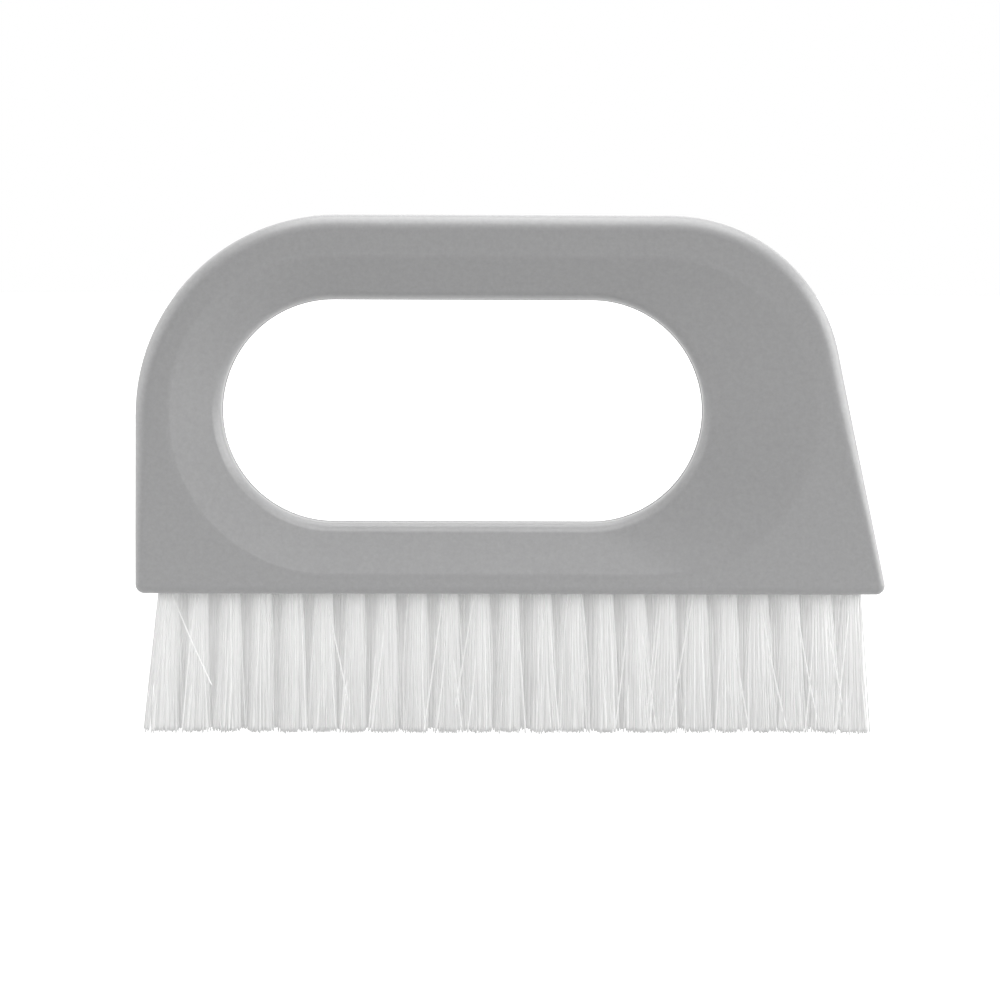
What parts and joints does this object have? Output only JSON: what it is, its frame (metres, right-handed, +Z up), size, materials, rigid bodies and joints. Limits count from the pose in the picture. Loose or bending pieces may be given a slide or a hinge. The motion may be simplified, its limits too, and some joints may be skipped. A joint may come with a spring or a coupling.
{
  "type": "grout brush",
  "caption": "Hand brush for grout lines: a grey moulded loop handle with a raked toe and faces scooped round the finger opening, over a narrow strip of stiff white bristle tufts.",
  "frame": {"origin": "on the surface that the bristle tips stand on, under the middle of the length and of the thickness", "axes": "+X along the brush towards the raked toe, +Y through the thickness from the front row to the rear row, +Z up from the tips to the grip"},
  "size_m": [0.155, 0.018, 0.1075],
  "materials": {
    "handle_plastic": "satin grey moulded plastic with a very fine grain",
    "bristle_filament": "white, slightly translucent plastic filament",
    "anchor_wire": "plain drawn flat wire"
  },
  "bodies": {
    "root": {"handle": "handle_plastic", "front_anchor_wires": "anchor_wire", "rear_anchor_wires": "anchor_wire", "front_tuft_01": "bristle_filament", "front_tuft_02": "bristle_filament", "front_tuft_03": "bristle_filament", "front_tuft_04": "bristle_filament", "front_tuft_05": "bristle_filament", "front_tuft_06": "bristle_filament", "front_tuft_07": "bristle_filament", "front_tuft_08": "bristle_filament", "front_tuft_09": "bristle_filament", "front_tuft_10": "bristle_filament", "front_tuft_11": "bristle_filament", "front_tuft_12": "bristle_filament", "front_tuft_13": "bristle_filament", "front_tuft_14": "bristle_filament", "front_tuft_15": "bristle_filament", "front_tuft_16": "bristle_filament", "front_tuft_17": "bristle_filament", "front_tuft_18": "bristle_filament", "front_tuft_19": "bristle_filament", "front_tuft_20": "bristle_filament", "front_tuft_21": "bristle_filament", "front_tuft_22": "bristle_filament", "front_tuft_23": "bristle_filament", "rear_tuft_01": "bristle_filament", "rear_tuft_02": "bristle_filament", "rear_tuft_03": "bristle_filament", "rear_tuft_04": "bristle_filament", "rear_tuft_05": "bristle_filament", "rear_tuft_06": "bristle_filament", "rear_tuft_07": "bristle_filament", "rear_tuft_08": "bristle_filament", "rear_tuft_09": "bristle_filament", "rear_tuft_10": "bristle_filament", "rear_tuft_11": "bristle_filament", "rear_tuft_12": "bristle_filament", "rear_tuft_13": "bristle_filament", "rear_tuft_14": "bristle_filament", "rear_tuft_15": "bristle_filament", "rear_tuft_16": "bristle_filament", "rear_tuft_17": "bristle_filament", "rear_tuft_18": "bristle_filament", "rear_tuft_19": "bristle_filament", "rear_tuft_20": "bristle_filament", "rear_tuft_21": "bristle_filament", "rear_tuft_22": "bristle_filament"}
  },
  "joints": []
}
